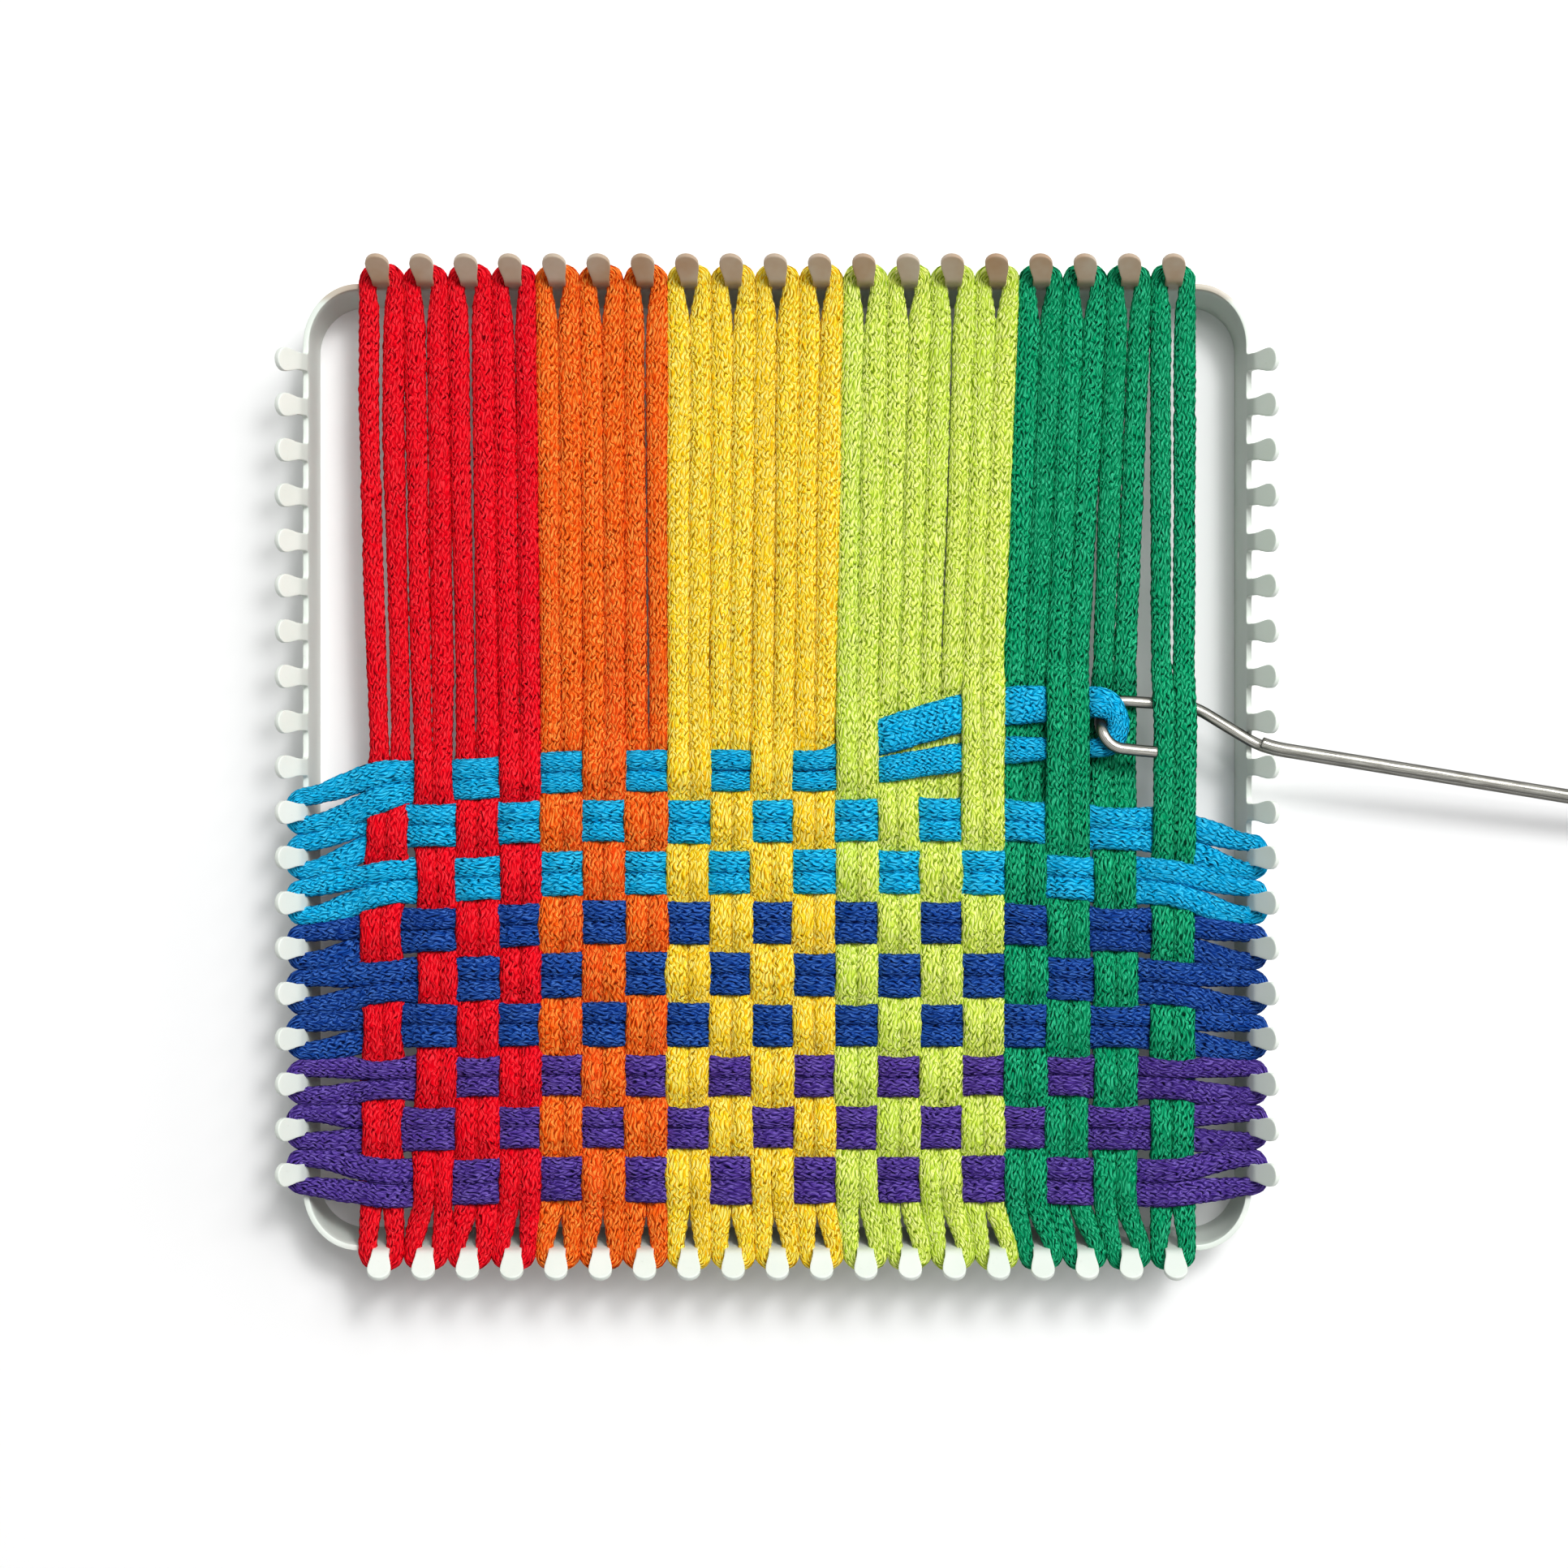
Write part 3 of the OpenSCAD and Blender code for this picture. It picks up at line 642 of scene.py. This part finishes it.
def slack_loop(materials):
    """The ninth weft loop: woven at the left, slack in the middle, round the hook at the right."""
    rng = np.random.default_rng(209)
    p, m = peg_y(ROWS), MID_9
    zs = weft_heights(ROWS, 17)
    zs.append([zs[-1][1] + 1.2, 80, TURN_Z])
    height = eased(plateaus(zs, REST_Z), 0.9)
    # Stations of [x, middle, inner side, outer side]: both strands alike at the left, then apart.
    left = [[-SIDE_IN, SNUG_HALF, FAN_HALF], [-SIDE_IN + 0.8, SNUG_HALF, FAN_HALF],
            [-86, 0.8, 5.2], [-80, 0.05, 5.3], [-76, 0.0, 4.9], [-72, -0.1, 4.3],
            [-60, -0.1, 4.05], [-40, -0.1, 4.0]]
    left = [[x, row_at(ROWS, x), inner, outer] for x, inner, outer in left]
    upper = [[9.7, m, 0.1, 3.9], [17.2, m, 2.05, 8.8], [36, m, 7.1, 14.6], [45, m, 8.5, 16.1],
             [TURN_FROM - 4, m, 9.9, 16.2], [TURN_FROM, m, 10.2, 16.2]]
    lower = [[9.7, m, 0.1, 3.9], [17.2, m, -1.8, 3.0], [36, m, -5.1, 0.5], [45, m, -6.6, -1.2],
             [TURN_FROM - 4, m, -6.1, -2.5], [TURN_FROM, m, -5.9, -2.5]]
    calm = eased([[-90, 0], [-80, 1], [50, 1], [60, 0]], 3)
    depth = eased([[9, LOOP_T / 2], [20, 1.15], [58, 1.15], [64, 1.35]], 2)
    sides = []
    for side, right in ((1, upper), (-1, lower)):
        stations = np.array(left + right)
        mid, inner, outer = (eased(stations[:, [0, i]], 1.8) for i in (1, 2, 3))
        wave = drift(rng, 0.2, 14) * calm
        sides.append(strand(mid + wave, inner, outer, side, height, depth))
    inside = (GRID >= -wrap_start(WRAP_BACK_SIDE)) & (GRID <= TURN_FROM)
    up, down = sides[0][inside], sides[1][inside][::-1]
    # The turn goes from the end of one strand to the start of the other, between two round edges.
    high, low = up[-1], down[0]
    angle = np.linspace(math.pi / 2, -math.pi / 2, 21)[1:-1]
    share = (angle[0] - angle) / (angle[0] - angle[-1])
    mid_y, reach_y = (high[1] + low[1]) / 2, (high[1] - low[1]) / 2
    wide = high[3] + (low[3] - high[3]) * share
    round_x, round_y = np.abs(np.cos(angle)) ** 0.8, np.sin(angle)
    far_edge = np.array([TURN_FROM + (TURN_OUT - TURN_FROM) * round_x,
                         mid_y + (reach_y + wide) * round_y])
    near_edge = np.array([TURN_FROM + (TURN_IN - TURN_FROM) * round_x**1.6,
                          mid_y + (reach_y - wide) * round_y])
    turn = np.array([
        *(far_edge + near_edge) / 2,
        TURN_Z + 0.25 * np.clip(round_y, 0, 1),
        np.linalg.norm(far_edge - near_edge, axis=0) / 2,
        np.full_like(angle, 1.3),
    ]).T
    path = np.concatenate([up, turn, down, around_peg(p, FAN_HALF, WRAP_BACK_SIDE, -1)])
    piece = tube("weft_9", path, lambda q: WEFT_STITCH - 0.5 * smooth((q[:, 0] - 8) / 15), rng,
                 False, SLACK_WALES)
    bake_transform(piece)
    dress(piece, "weft_loop_9", materials[WEFT_YARNS[-1]])


# Frame

NECK_BEND, HEAD_BEND = 1.0, 1.6  # lengths of sheet that bend to the neck's and the head's tilt
LEVELS = [0, 0.5, 3, 6, 9, 12, WALL_H]  # of the band's rows of faces
ACROSS = 9  # points across a peg
EDGE_R = 0.18  # of the sheet's softened edges

# The sides, then the ends: length along the foot, half size across, the band's lean, the tilts of
# neck and head, and the pitch of the pegs.
RAILS = [
    (BASE_Y - 2 * CORNER_R, BASE_X / 2, SIDE_LEAN, SIDE_NECK, SIDE_HEAD, SIDE_PITCH),
    (BASE_X - 2 * CORNER_R, BASE_Y / 2, END_LEAN, END_NECK, END_HEAD, END_PITCH),
]


def bend_profile(lean, neck, head):
    """Outward, upward and tilt of the outer face beyond the notch, by length along the sheet."""
    t = np.linspace(0, NECK_LEN + HEAD_LEN, 401)
    tilt = lean + (neck - lean) * smooth(t / NECK_BEND)
    tilt = tilt + (head - neck) * smooth((t - NECK_LEN + HEAD_BEND / 2) / HEAD_BEND)
    step = t[1] - t[0]
    out = np.concatenate([[0], np.cumsum(np.sin((tilt[1:] + tilt[:-1]) / 2)) * step])
    up = np.concatenate([[0], np.cumsum(np.cos((tilt[1:] + tilt[:-1]) / 2)) * step])
    return t, out, up, tilt


def flare(s):
    """Half width of a peg at a length beyond its neck, where its edges are straight."""
    return NECK_W / 2 + s * (FLARE_SHARE * HEAD_W / 2 - NECK_W / 2) / FLARE_LEN


def peg_pattern(x0):
    """Flat outline of a peg as a grid of [along the rail, length beyond the notch]."""
    rows = []
    u = np.linspace(-1, 1, ACROSS)
    for a in np.radians([0, 25, 45, 65, 90]):
        half = NECK_W / 2 + NOTCH_R * (1 - math.sin(a))
        rows.append(np.stack([x0 + u * half, np.full(ACROSS, NOTCH_R * (1 - math.cos(a)))], 1))
    for t in (1.5, 2.1, 2.7, 3.1, 3.5, 3.9):
        rows.append(np.stack([x0 + u * flare(max(0, t - NECK_LEN)), np.full(ACROSS, t)], 1))
    # The head's rows go from straight ones to the round tip.
    tip_r = HEAD_W / 2
    centre = HEAD_LEN - tip_r
    first = 0.9
    last_angle = math.radians(78)
    side_end = centre + tip_r * math.cos(last_angle)
    for k in np.linspace(0, 1, 11):
        s_side = first + (side_end - first) * k
        in_disc = max(0.0, tip_r**2 - (s_side - centre) ** 2) ** 0.5
        half = max(min(flare(s_side), FLARE_SHARE * tip_r), in_disc)
        tip_s = centre + tip_r * np.cos(last_angle * u)
        s = first + (tip_s - first) * k
        x = (1 - k) * u * half + k * tip_r * np.sin(last_angle * u)
        rows.append(np.stack([x0 + x, NECK_LEN + s], 1))
    return rows


def frame_mesh():
    """The strip of sheet laid flat, with its band, corners and pegs as spots and quads of spots.

    A spot is a quarter of the frame, whether it is on the quarter's corner, its place along the
    rail or its angle on the corner, its level on the band, and its length beyond the notch.
    """
    spots, quads = {}, []

    def spot(quarter, corner, along, level, beyond):
        key = (quarter, corner, round(along, 4), round(level, 4), round(beyond, 4))
        return spots.setdefault(key, len(spots))

    def band(quarter, corner, places):
        for a, b in zip(places, places[1:]):
            for low, high in zip(LEVELS, LEVELS[1:]):
                quads.append([spot(quarter, corner, x, z, 0) for x, z in
                              ((a, low), (b, low), (b, high), (a, high))])

    root = NECK_W / 2 + NOTCH_R
    for quarter in range(4):
        length, _, _, _, _, pitch = RAILS[quarter % 2]
        gap = pitch - 2 * root
        columns = [-length / 2]
        for i in range(1, PEGS + 1):
            x0 = (i - MIDDLE) * pitch
            columns += list(x0 + np.linspace(-1, 1, ACROSS) * root)
            if i < PEGS:
                columns += [x0 + root + gap / 3, x0 + root + 2 * gap / 3]
            rows = peg_pattern(x0)
            for lower, upper in zip(rows, rows[1:]):
                for a in range(ACROSS - 1):
                    quads.append([spot(quarter, False, q[0], WALL_H, q[1])
                                  for q in (lower[a], lower[a + 1], upper[a + 1], upper[a])])
        columns.append(length / 2)
        band(quarter, False, columns)
        band(quarter, True, np.linspace(0, 90, 19))
    return spots, quads


def frame_point(key, depth, profiles):
    """Place of a pattern spot, at a depth of 0 on the outer face or SHEET on the inner face."""
    quarter, corner, along, level, beyond = key
    if corner:
        angle = math.radians(along)
        half = [RAILS[(quarter + i) % 2][1] - CORNER_R for i in (0, 1)]
        leans = [RAILS[(quarter + i) % 2][2] for i in (0, 1)]
        radius = [CORNER_R + level * math.tan(q) - depth / math.cos(q) for q in leans]
        x = half[0] + radius[0] * math.cos(angle)
        y = half[1] + radius[1] * math.sin(angle)
        z = level
    else:
        _, half, lean, _, _, _ = RAILS[quarter % 2]
        out = half + level * math.tan(lean)
        if beyond <= 0:
            x, z = out - depth / math.cos(lean), level
        else:
            t, outs, ups, tilts = profiles[quarter % 2]
            along += TOP_SKEW * (quarter == 1) * max(0, beyond - NECK_LEN)
            tilt = np.interp(beyond, t, tilts)
            # The thickness turns from level at the notch to square with the bent sheet.
            share = min(1, beyond / 0.6)
            square, flat = -depth * math.cos(tilt), -depth / math.cos(lean)
            x = out + np.interp(beyond, t, outs) + share * square + (1 - share) * flat
            z = WALL_H + np.interp(beyond, t, ups) + share * (depth * math.sin(tilt))
        y = along
    for _ in range(quarter):
        x, y = -y, x
    return x, y, z


def loom_frame(material):
    """The strip bent round into the frame, with its thickness and softened edges."""
    profiles = [bend_profile(*rail[2:5]) for rail in RAILS]
    spots, quads = frame_mesh()
    points = np.array([frame_point(key, depth, profiles) for depth in (0, SHEET) for key in spots])
    count = len(spots)
    # Points in the same place become one, which joins the sides to their corners.
    places = np.round(points, 3)
    _, first, same = np.unique(places, axis=0, return_index=True, return_inverse=True)
    same = first[same.reshape(-1)].tolist()
    edges, faces = {}, []
    for quad in quads:
        faces.append([same[i] for i in quad])
        faces.append([same[i + count] for i in reversed(quad)])
        for a, b in zip(quad, quad[1:] + quad[:1]):
            edges[same[a], same[b]] = (same[a + count], same[b + count])
    # An edge with a quad on one side only gets a face through the thickness.
    for (a, b), (a2, b2) in edges.items():
        if (b, a) not in edges:
            faces.append([b, a, a2, b2])
    used = sorted({i for face in faces for i in face})
    index = {old: new for new, old in enumerate(used)}
    mesh = bpy.data.meshes.new("frame_sheet")
    mesh.from_pydata([tuple(points[i] * MM) for i in used], [],
                     [[index[i] for i in face] for face in faces])
    mesh.validate()
    piece = add_object("frame_sheet", mesh)
    for polygon in mesh.polygons:
        polygon.use_smooth = True
    bevel = piece.modifiers.new("edge", "BEVEL")
    bevel.width = EDGE_R * MM
    bevel.segments = 2
    bevel.limit_method = "ANGLE"
    bevel.angle_limit = math.radians(50)
    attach(piece, "loom")
    dress(piece, "loom_frame", material)


# Where painted shade, tinted brown like light bounced off the loops, covers the top heads and
# necks, along Y and up Z, in metres.
TOP_SHADE_Y, TOP_SHADE_Z = (0.0905, 0.0925), (0.0125, 0.0155)


def painted_steel():
    """Pale sage powder paint with a fine orange peel, a little grime, a painted highlight on its
    edges and painted brownish shade on the top pegs.
    """
    n = Nodes(bpy.data.materials.new("painted_steel"))
    place = n.add("ShaderNodeTexCoord").outputs["Object"]
    cloud = n.noise(place, 60, 4, 0.6)
    grain = n.noise(place, 900, 3, 0.6)
    peel = n.noise(place, 2600, 2, 0.5)
    colour = n.mix(n.steps(cloud, 0.35, 0.7), linear(222, 230, 221), linear(229, 235, 227))
    colour = n.mix(n.steps(grain, 0.62, 0.78, 0.0, 0.2), colour, linear(188, 194, 182))
    edge = n.add("ShaderNodeNewGeometry").outputs["Pointiness"]
    # Painted highlight: the sheet's convex edges are made lighter.
    colour = n.mix(n.steps(edge, 0.53, 0.62, 0.0, 0.5), colour, linear(240, 243, 236))
    _, y, z = n.split(place)
    # Painted shade, tinted brown like light bounced off the loops, on the heads and necks of the
    # top pegs.
    top_shade = n.math("MULTIPLY", n.steps(y, *TOP_SHADE_Y), n.steps(z, *TOP_SHADE_Z))
    top_shade = n.math("MULTIPLY", top_shade, n.steps(cloud, 0.2, 0.8, 0.6, 0.95))
    colour = n.mix(top_shade, colour, linear(154, 114, 72))
    normal = n.bump(n.math("MULTIPLY_ADD", grain, 0.5, peel), 0.12, 0.0001)
    shader = n.shader(colour, n.steps(cloud, 0.3, 0.7, 0.36, 0.5), normal)
    shader.inputs["Specular IOR Level"].default_value = 0.45
    return n.owner


# Weaving hook


def between(a, b, x):
    """Smooth curve through two knots of [x, y, slope]."""
    w = b[0] - a[0]
    t = (x - a[0]) / w
    return ((1 + 2 * t) * (1 - t) ** 2 * a[1] + t * (1 - t) ** 2 * w * a[2]
            + t * t * (3 - 2 * t) * b[1] + t * t * (t - 1) * w * b[2])


KNOTS = [(BEND_X + 6.3, BEND_Y + BEND_R - 0.4, -0.03), (80.9, 11.75, -0.28),
         (85.46, 9.45, -0.62), (92.46, 5.25, -0.57), (HANDLE_X, HANDLE_Y, -math.tan(HANDLE_TURN))]
SLOPE_X = 96.0
HANDLE_END_Z = WIRE_D / 2 + 0.3
FAR_X = HANDLE_X + (HANDLE_LEN - EYE_W / 2) * math.cos(HANDLE_TURN)
TAIL_SIDE, LAP, TAIL_END_X = 0.5, WIRE_D + 0.05, 94.4


def shank(x):
    first = sum(x >= knot[0] for knot in KNOTS[1:-1])
    y = between(KNOTS[first], KNOTS[first + 1], x)
    z = HOOK_Z - max(0, x - SLOPE_X) * (HOOK_Z - HANDLE_END_Z) / (FAR_X - SLOPE_X)
    return y, z


def on_handle(along, across, lift):
    x = HANDLE_X + along * math.cos(HANDLE_TURN) + across * math.sin(HANDLE_TURN)
    y = HANDLE_Y - along * math.sin(HANDLE_TURN) + across * math.cos(HANDLE_TURN)
    return x, y, shank(x)[1] + lift


def hook_route():
    """The wire from the lip's cut tip round the bend, along the handle and back on top of it."""
    points = [(BEND_X + LIP_LEN, BEND_Y - BEND_R - 0.6, LIP_Z),
              (BEND_X + LIP_LEN / 2, BEND_Y - BEND_R - 0.35, LIP_Z)]
    for a in range(270, 89, -10):
        turn = math.radians(a)
        lift = (LIP_Z - HOOK_Z) * float(smooth((a - 157) / 46))
        points.append((BEND_X + BEND_R * math.cos(turn), BEND_Y + BEND_R * math.sin(turn),
                       HOOK_Z + lift))
    for x in np.linspace(KNOTS[0][0], HANDLE_X, 16):
        points.append((x, *shank(x)))
    for along in np.arange(10, HANDLE_LEN - EYE_LEN - 5, 10):
        points.append(on_handle(along, 0, 0))
    r = EYE_W / 2
    eye = [(HANDLE_LEN - EYE_LEN, 0), (HANDLE_LEN - 0.6 * EYE_LEN, -0.9 * r)]
    eye += [(HANDLE_LEN - r + r * math.cos(a), r * math.sin(a))
            for a in np.radians(np.arange(-90, 91, 22.5))]
    eye += [(HANDLE_LEN - 0.6 * EYE_LEN, r), (HANDLE_LEN - EYE_LEN, 0.6 * r)]
    for i, (along, across) in enumerate(eye):
        lift = LAP * float(smooth(1.3 * i / (len(eye) - 1) - 0.15))
        points.append(on_handle(along, across, lift))
    for along in np.arange(HANDLE_LEN - 1.6 * EYE_LEN, 5, -10):
        points.append(on_handle(along, TAIL_SIDE, LAP))
    for x in np.linspace(HANDLE_X, TAIL_END_X, 6):
        y, z = shank(x)
        points.append((x, y + TAIL_SIDE, z + LAP))
    return np.array(points)


def flowing(points, step):
    """Points at equal steps on the smooth curve through some points."""
    before, after = points[:1] * 2 - points[1:2], points[-1:] * 2 - points[-2:-1]
    padded = np.concatenate([before, points, after])
    dense = []
    for a, b, c, d in zip(padded, padded[1:], padded[2:], padded[3:]):
        t = np.linspace(0, 1, 24, endpoint=False)[:, None]
        dense.append(0.5 * (2 * b + (c - a) * t + (2 * a - 5 * b + 4 * c - d) * t**2
                            + (3 * b - a - 3 * c + d) * t**3))
    dense = np.concatenate(dense + [points[-1:]])
    length = np.concatenate([[0], np.cumsum(np.linalg.norm(np.diff(dense, axis=0), axis=1))])
    at = np.linspace(0, length[-1], int(length[-1] / step))
    return np.stack([np.interp(at, length, dense[:, i]) for i in range(3)], 1), at


def weaving_hook(material):
    """Round wire with its cut ends slightly rounded."""
    centre, at = flowing(hook_route(), 0.6)
    sides = 24
    tangent = np.gradient(centre, axis=0)
    tangent /= np.linalg.norm(tangent, axis=1)[:, None]
    side = np.cross(tangent, [0, 0, 1.0])
    side /= np.linalg.norm(side, axis=1)[:, None]
    up = np.cross(side, tangent)
    edge = 0.22
    near = [(0, 0), (0, 0.6), (0, 1 - edge / (WIRE_D / 2)), (0.3 * edge, 0.93), (edge, 1.0)]
    rings, vs = [], []
    for order, k in ((1, 0), (-1, len(centre) - 1)):
        caps = [(centre[k] + order * tangent[k] * d, share, k) for d, share in near]
        rings.append(caps if order > 0 else caps[::-1])
    middle = [(centre[k], 1.0, k) for k in range(1, len(centre) - 1)]
    angle = np.arange(sides) / sides * TAU
    points = []
    for place, share, k in rings[0] + middle + rings[1]:
        radius = max(share, 0.02) * WIRE_D / 2
        points.append(place + radius * (np.outer(np.cos(angle), side[k])
                                        + np.outer(np.sin(angle), up[k])))
        vs.append(at[k])
    points = np.array(points)
    count = len(points)
    faces, uvs = [], []
    for k in range(count - 1):
        here, there = k * sides, (k + 1) * sides
        for j in range(sides):
            j2 = (j + 1) % sides
            faces.append([here + j, there + j, there + j2, here + j2])
            uvs += [(j / sides, vs[k]), (j / sides, vs[k + 1]), ((j + 1) / sides, vs[k + 1]),
                    ((j + 1) / sides, vs[k])]
    faces.append(list(range(sides)))
    faces.append([(count - 1) * sides + j for j in reversed(range(sides))])
    uvs += [(0.5, vs[0])] * sides + [(0.5, vs[-1])] * sides
    mesh = bpy.data.meshes.new("hook_wire")
    mesh.from_pydata([tuple(q * MM) for q in points.reshape(-1, 3)], [], faces)
    layer = mesh.uv_layers.new(name="UVMap")
    layer.data.foreach_set("uv", np.array(uvs, np.float32).ravel())
    for polygon in mesh.polygons:
        polygon.use_smooth = True
    mesh.update()
    piece = add_object("hook_wire", mesh)
    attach(piece, "hook")
    dress(piece, "weaving_hook", material)


def bare_wire():
    """Drawn steel wire: fine lines along it, a duller, patchy grey, and painted shade below its
    lighter top.
    """
    n = Nodes(bpy.data.materials.new("bare_wire"))
    u, v, _ = n.split(n.add("ShaderNodeUVMap").outputs["UV"])
    lines = n.patches(u, 60.0, v, 0.15, 3)
    cloud = n.patches(u, 2.0, v, 0.2, 3)
    # Painted shade and highlight: the wire is lighter where it faces up and darker on its sides
    # and underside, whatever stands round it.
    _, _, facing_up = n.split(n.add("ShaderNodeNewGeometry").outputs["Normal"])
    lit_top = n.steps(facing_up, 0.45, 0.97)
    colour = n.mix(n.steps(lines, 0.3, 0.7), linear(112, 110, 102), linear(190, 189, 181))
    colour = n.mix(lit_top, linear(60, 58, 52), colour)
    colour = n.mix(n.steps(cloud, 0.5, 0.75, 0.0, 0.4), colour, linear(84, 80, 70))
    shader = n.shader(colour, n.steps(lines, 0.2, 0.8, 0.2, 0.34), n.bump(lines, 0.25, 0.00004))
    shader.inputs["Metallic"].default_value = 0.75
    return n.owner


# Studio

# Each softbox: its direction, its distance and side in metres, and its level.
LAMPS = {
    "key": ((0.29, 0.5, 1.0), 3.0, 0.5, 0.27),
    "softbox": ((0.28, 0.44, 1.0), 3.0, 1.6, 0.72),
    "side_fill": ((1.9, 0.7, 1.0), 3.0, 2.0, 0.25),
}
SKY_LEVEL = 0.24
FLOOR_GLOW = 0.05


def seen_directly(n):
    """1 for what the camera, a reflection or a transmitted ray sees."""
    light = n.add("ShaderNodeLightPath").outputs
    either = n.math("MAXIMUM", light["Is Camera Ray"], light["Is Glossy Ray"])
    return n.math("MAXIMUM", either, light["Is Transmission Ray"])


def make_floor():
    """White table. Its own colour takes the shadow, and a little glow lifts it to white."""
    size, drop = 3.0, -0.00002  # metres, and a little below the foot of the frame
    mesh = bpy.data.meshes.new("floor")
    mesh.from_pydata([(-size, -size, drop), (size, -size, drop), (size, size, drop),
                      (-size, size, drop)], [], [(0, 1, 2, 3)])
    floor = add_object("floor", mesh)
    n = Nodes(bpy.data.materials.new("table"))
    diffuse = n.add("ShaderNodeBsdfDiffuse")
    diffuse.inputs["Color"].default_value = (0.9, 0.9, 0.9, 1)
    glow = n.add("ShaderNodeEmission")
    n.link(n.math("MULTIPLY", seen_directly(n), FLOOR_GLOW), glow.inputs["Strength"])
    both = n.add("ShaderNodeAddShader")
    n.link(diffuse.outputs[0], both.inputs[0])
    n.link(glow.outputs[0], both.inputs[1])
    n.link(both.outputs[0], n.out.inputs["Surface"])
    mesh.materials.append(n.owner)


def make_lights():
    """White sky, dimmer as a light than it looks, and the softboxes turned to the loom."""
    world = bpy.data.worlds.new("studio")
    bpy.context.scene.world = world
    n = Nodes(world, "ShaderNodeOutputWorld")
    sky = n.add("ShaderNodeBackground")
    sky.inputs["Color"].default_value = (1, 1, 1, 1)
    level = n.math("MULTIPLY_ADD", seen_directly(n), 1 - SKY_LEVEL, SKY_LEVEL)
    n.link(level, sky.inputs["Strength"])
    n.link(sky.outputs[0], n.out.inputs["Surface"])
    for name, (slope, far, side, strength) in LAMPS.items():
        lamp = bpy.data.lights.new(name, "AREA")
        lamp.shape = "SQUARE"
        lamp.size = side
        lamp.energy = strength * math.pi**2 * far**2
        place = add_object(name, lamp)
        place.location = np.array(slope) / np.linalg.norm(slope) * far
        place.rotation_mode = "QUATERNION"
        place.rotation_quaternion = place.location.to_track_quat("Z", "Y")


make_camera()
make_floor()
make_lights()
yarns = {name: knit(name, *(linear(*c) for c in colours)) for name, colours in YARNS.items()}
for column in range(1, PEGS + 1):
    warp_loop(column, yarns)
for row in range(1, ROWS):
    weft_loop(row, yarns)
slack_loop(yarns)
loom_frame(painted_steel())
weaving_hook(bare_wire())

bpy.context.scene.view_settings.view_transform = "Standard"
